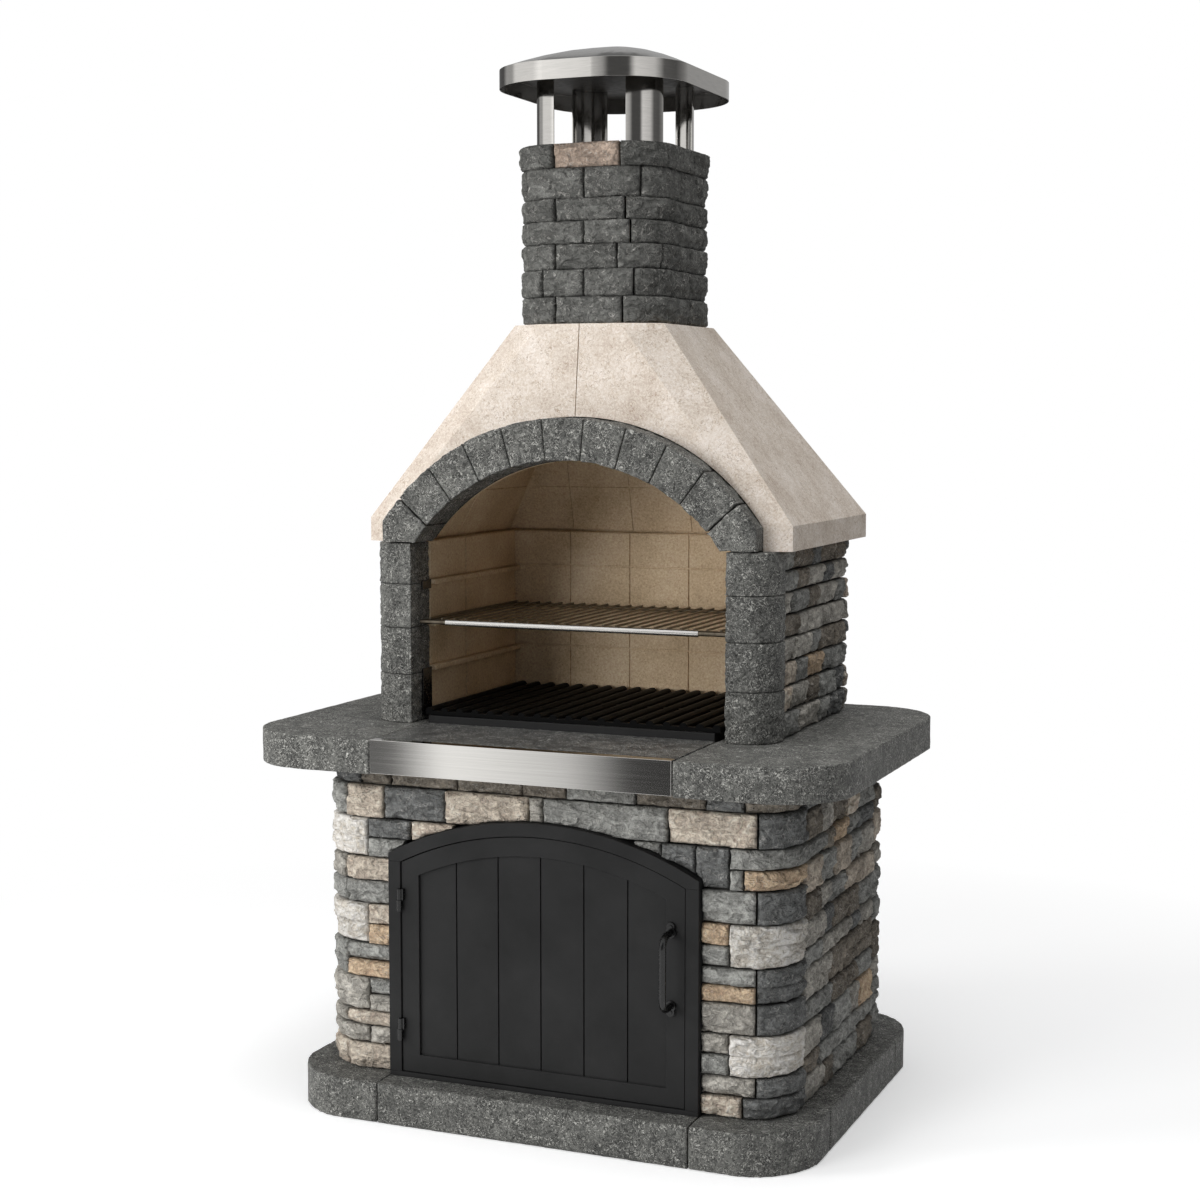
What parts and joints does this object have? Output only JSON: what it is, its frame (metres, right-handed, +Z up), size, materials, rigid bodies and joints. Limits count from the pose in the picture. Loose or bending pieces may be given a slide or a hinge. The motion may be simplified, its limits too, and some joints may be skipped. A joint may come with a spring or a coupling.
{
  "type": "stone garden barbecue",
  "caption": "Tall masonry garden barbecue: stone-faced log store with an arched steel door, wide worktop with ash drawer, arched firebox with grates, tapered hood and chimney with a steel cap.",
  "frame": {"origin": "centre of the overall box, on the ground under the plinth", "axes": "+Z up, -Y to the front where the door and the fire opening are, +X to the right seen from the front"},
  "size_m": [1.2, 0.891, 2.0844],
  "materials": {
    "dark_cast_stone": "speckled, matt",
    "facing_stone": "rock-faced, matt",
    "cream_cast_stone": "finely pitted, matt",
    "concrete": "rough, matt",
    "fireclay": "matt",
    "polished_stone": "polished",
    "stainless_steel": "brushed",
    "black_iron": "rough, matt",
    "black_steel": "satin"
  },
  "bodies": {
    "masonry": {"plinth_front": "dark_cast_stone", "plinth_back": "dark_cast_stone", "plinth_sides": "dark_cast_stone", "plinth_corners": "dark_cast_stone", "worktop_right": "dark_cast_stone", "worktop_left": "dark_cast_stone", "worktop_back": "dark_cast_stone", "pillar_right": "dark_cast_stone", "pillar_left": "dark_cast_stone", "arch_stones": "dark_cast_stone", "arch_springers": "dark_cast_stone", "chimney_stones": "dark_cast_stone", "facing_front": "facing_stone", "facing_left": "facing_stone", "facing_right": "facing_stone", "facing_back": "facing_stone", "firebox_facing_left": "facing_stone", "firebox_facing_right": "facing_stone", "firebox_facing_back": "facing_stone", "hood_front_left": "cream_cast_stone", "hood_back_left": "cream_cast_stone", "hood_front_right": "cream_cast_stone", "hood_back_right": "cream_cast_stone", "cabinet_floor": "concrete", "base_core_right": "concrete", "base_core_left": "concrete", "base_core_back": "concrete", "base_piers": "concrete", "base_lintel": "concrete", "base_slab": "concrete", "firebox_cores": "concrete", "lining_right": "fireclay", "lining_left": "fireclay", "lining_back": "fireclay", "flue_liner": "fireclay", "apron_slab": "polished_stone", "drawer_runners": "stainless_steel", "cap_roof": "stainless_steel", "cap_plate": "stainless_steel", "cap_posts": "stainless_steel", "fire_tray": "black_iron", "door_jambs": "black_steel", "door_sill": "black_steel", "door_head": "black_steel", "door_catch": "black_steel", "hinge_frame_barrels": "black_steel", "hinge_pins": "black_steel", "hook_plates": "black_steel"},
    "door": {"door_leaf": "black_steel", "door_planks": "black_steel", "door_braces": "black_steel", "hinge_leaf_barrels": "black_steel", "door_handle": "black_steel", "handle_screws": "black_steel"},
    "ash_drawer": {"drawer_front": "stainless_steel", "drawer_tray": "stainless_steel"},
    "cooking_grate": {"cooking_grate": "stainless_steel", "grate_sleeve": "stainless_steel"},
    "fire_grate": {"fire_grate": "black_iron"}
  },
  "joints": [
    {"name": "door_swing", "type": "hinge", "parent": "masonry", "child": "door", "pos_m": [-0.29385, -0.351, 0.303], "axis": [0, 0, -1], "range_deg": [0, 110]},
    {"name": "ash_drawer_slide", "type": "slide", "parent": "masonry", "child": "ash_drawer", "axis": [0, -1, 0], "range_m": [0, 0.4]},
    {"name": "cooking_grate_slide", "type": "slide", "parent": "masonry", "child": "cooking_grate", "axis": [0, -1, 0], "range_m": [0, 0.25]},
    {"name": "fire_grate_lift", "type": "slide", "parent": "masonry", "child": "fire_grate", "axis": [0, 0, 1], "range_m": [0, 0.12]}
  ]
}
